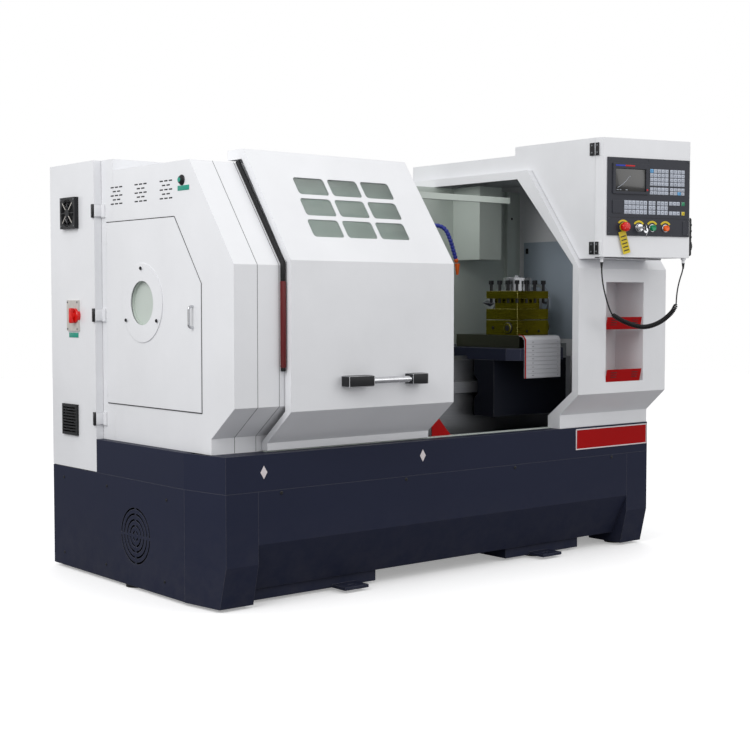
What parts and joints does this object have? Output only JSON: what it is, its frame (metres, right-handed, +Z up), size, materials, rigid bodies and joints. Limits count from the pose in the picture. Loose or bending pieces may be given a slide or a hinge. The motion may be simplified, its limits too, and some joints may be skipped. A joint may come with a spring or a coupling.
{
  "type": "cnc turning lathe",
  "caption": "Enclosed flat-bed turning lathe: base with chip tray, hollow spindle and chuck, square tool turret on a cross slide, sliding guard door and swing-out operator panel.",
  "frame": {"origin": "centre of the outline on the floor under the levelling feet", "axes": "+X along the spindle from headstock to tailstock, +Y to the back, +Z up; the operator stands on the -Y side"},
  "size_m": [2.368, 1.5674, 1.79],
  "materials": {
    "navy_paint": "textured powder coat, satin",
    "white_paint": "powder coat, satin",
    "red_paint": "gloss paint",
    "black_steel": "black oxide",
    "ground_iron": "ground, oiled",
    "grey_casting": "painted casting",
    "bright_steel": "turned and polished",
    "dark_plastic": "fine textured",
    "black_rubber": "matt",
    "blue_plastic": "moulded",
    "grey_plastic": "satin",
    "red_plastic": "moulded",
    "green_plastic": "moulded",
    "orange_plastic": "moulded",
    "yellow_plastic": "printed card",
    "green_glass": "tinted sheet",
    "slat_aluminium": "satin slats",
    "olive_turret": "gold-olive oxide on ground steel"
  },
  "bodies": {
    "machine": {"base_frame": "navy_paint", "base_panels": "navy_paint", "levelling_feet": "black_steel", "chip_tray": "navy_paint", "red_plates": "red_paint", "bed": "ground_iron", "headstock_housing": "grey_casting", "spindle_bearings": "bright_steel", "headstock_enclosure": "white_paint", "electrical_cabinet": "white_paint", "control_modules": "dark_plastic", "right_enclosure": "white_paint", "tool_shelves": "red_paint", "splash_guard": "white_paint", "door_rails": "bright_steel", "control_cabinet": "white_paint", "drive_motors": "grey_casting", "drive_belt": "black_rubber", "coolant_hose": "blue_plastic"},
    "end_cover": {"end_cover_door": "white_paint", "end_cover_ring": "white_paint", "end_cover_handle": "bright_steel"},
    "cabinet_door": {"cabinet_door": "white_paint", "vent_covers": "dark_plastic", "switch_plate": "grey_plastic"},
    "cabinet_fan": {"fan_rotor": "dark_plastic"},
    "main_switch": {"switch_knob": "red_plastic"},
    "sliding_door": {"front_door": "white_paint", "door_window": "green_glass", "door_handle": "bright_steel"},
    "control_door": {"control_door": "white_paint", "control_panel": "dark_plastic", "keypad": "grey_plastic", "button_tag": "yellow_plastic", "pendant_body": "dark_plastic", "cord_leads": "black_rubber", "cord_coil": "black_rubber"},
    "emergency_button": {"emergency_button": "red_plastic"},
    "start_button": {"start_button": "green_plastic"},
    "stop_button": {"stop_button": "orange_plastic"},
    "key_switch": {"key_switch": "bright_steel"},
    "pendant_dial": {"pendant_dial": "dark_plastic"},
    "spindle": {"spindle": "ground_iron", "spindle_pulley": "grey_casting", "chuck_body": "ground_iron"},
    "jaw_1": {"chuck_jaw_1": "bright_steel"},
    "jaw_2": {"chuck_jaw_2": "bright_steel"},
    "jaw_3": {"chuck_jaw_3": "bright_steel"},
    "motor_rotor": {"motor_pulley": "grey_casting"},
    "carriage": {"saddle": "navy_paint", "apron_cover": "navy_paint"},
    "cross_slide": {"cross_slide": "ground_iron", "slat_cover": "slat_aluminium", "turret_base": "olive_turret"},
    "turret": {"turret_head": "olive_turret", "turret_screws": "black_steel"},
    "feed_screw": {"feed_screw": "ground_iron"},
    "tailstock": {"tailstock_body": "grey_casting"},
    "quill": {"tailstock_quill": "bright_steel"},
    "handwheel": {"tailstock_handwheel": "bright_steel"}
  },
  "joints": [
    {"name": "door_slide", "type": "slide", "parent": "machine", "child": "sliding_door", "axis": [1, 0, 0], "range_m": [0, 0.715]},
    {"name": "end_cover_hinge", "type": "hinge", "parent": "machine", "child": "end_cover", "pos_m": [-1.11, 0.36666, 1.062], "axis": [0, 0, -1], "range_deg": [0, 90]},
    {"name": "cabinet_door_hinge", "type": "hinge", "parent": "machine", "child": "cabinet_door", "pos_m": [-1.146, 0.40766, 1.042], "axis": [0, 0, 1], "range_deg": [0, 90]},
    {"name": "fan_spin", "type": "hinge", "parent": "cabinet_door", "child": "cabinet_fan", "pos_m": [-1.132, 0.60066, 1.463], "axis": [1, 0, 0], "continuous": true},
    {"name": "switch_turn", "type": "hinge", "parent": "cabinet_door", "child": "main_switch", "pos_m": [-1.152, 0.55966, 1.049], "axis": [1, 0, 0], "range_deg": [0, 90]},
    {"name": "control_door_hinge", "type": "hinge", "parent": "machine", "child": "control_door", "pos_m": [0.635, -0.62834, 1.542], "axis": [0, 0, -1], "range_deg": [0, 100]},
    {"name": "emergency_press", "type": "slide", "parent": "control_door", "child": "emergency_button", "axis": [0.2588, 0.9659, 0], "range_m": [0, 0.004], "stiffness_N_per_m": 3000, "springref_m": -0.002},
    {"name": "start_press", "type": "slide", "parent": "control_door", "child": "start_button", "axis": [0.2588, 0.9659, 0], "range_m": [0, 0.004], "stiffness_N_per_m": 1500, "springref_m": -0.002},
    {"name": "stop_press", "type": "slide", "parent": "control_door", "child": "stop_button", "axis": [0.2588, 0.9659, 0], "range_m": [0, 0.004], "stiffness_N_per_m": 1500, "springref_m": -0.002},
    {"name": "key_turn", "type": "hinge", "parent": "control_door", "child": "key_switch", "pos_m": [0.818, -0.7099, 1.417], "axis": [-0.2588, -0.9659, 0], "range_deg": [0, 90]},
    {"name": "pendant_dial_turn", "type": "hinge", "parent": "control_door", "child": "pendant_dial", "pos_m": [1.109, -0.73134, 1.346], "axis": [1, 0, 0], "continuous": true},
    {"name": "spindle_turn", "type": "hinge", "parent": "machine", "child": "spindle", "pos_m": [-0.707, 0.08966, 1.1], "axis": [1, 0, 0], "continuous": true},
    {"name": "motor_turn", "type": "hinge", "parent": "machine", "child": "motor_rotor", "pos_m": [-0.907, -0.28034, 0.734], "axis": [1, 0, 0], "continuous": true},
    {"name": "jaw_1_slide", "type": "slide", "parent": "spindle", "child": "jaw_1", "axis": [0, -1, 0], "range_m": [-0.012, 0.004]},
    {"name": "jaw_2_slide", "type": "slide", "parent": "spindle", "child": "jaw_2", "axis": [0, 0.5, -0.866], "range_m": [-0.012, 0.004]},
    {"name": "jaw_3_slide", "type": "slide", "parent": "spindle", "child": "jaw_3", "axis": [0, 0.5, 0.866], "range_m": [-0.012, 0.004]},
    {"name": "carriage_feed", "type": "slide", "parent": "machine", "child": "carriage", "axis": [1, 0, 0], "range_m": [-0.6, 0.02]},
    {"name": "feed_screw_turn", "type": "hinge", "parent": "machine", "child": "feed_screw", "pos_m": [0.293, 0.08966, 0.712], "axis": [1, 0, 0], "range_deg": [-21600, 720]},
    {"name": "cross_feed", "type": "slide", "parent": "carriage", "child": "cross_slide", "axis": [0, 1, 0], "range_m": [-0.02, 0.2], "deforming": ["slat_cover"]},
    {"name": "turret_index", "type": "hinge", "parent": "cross_slide", "child": "turret", "pos_m": [0.59, -0.22334, 1.112], "axis": [0, 0, 1], "continuous": true},
    {"name": "tailstock_shift", "type": "slide", "parent": "machine", "child": "tailstock", "axis": [1, 0, 0], "range_m": [-0.02, 0.1]},
    {"name": "quill_feed", "type": "slide", "parent": "tailstock", "child": "quill", "axis": [1, 0, 0], "range_m": [-0.08, 0]},
    {"name": "handwheel_turn", "type": "hinge", "parent": "tailstock", "child": "handwheel", "pos_m": [1.043, 0.08966, 1.1], "axis": [1, 0, 0], "range_deg": [-5760, 0]}
  ],
  "couplings": [
    {"joint": "motor_turn", "follows": "spindle_turn", "ratio": 1.9355},
    {"joint": "jaw_2_slide", "follows": "jaw_1_slide", "ratio": 1},
    {"joint": "jaw_3_slide", "follows": "jaw_1_slide", "ratio": 1},
    {"joint": "feed_screw_turn", "follows": "carriage_feed", "rad_per_m": 628.32},
    {"joint": "handwheel_turn", "follows": "quill_feed", "rad_per_m": 1256.6}
  ]
}
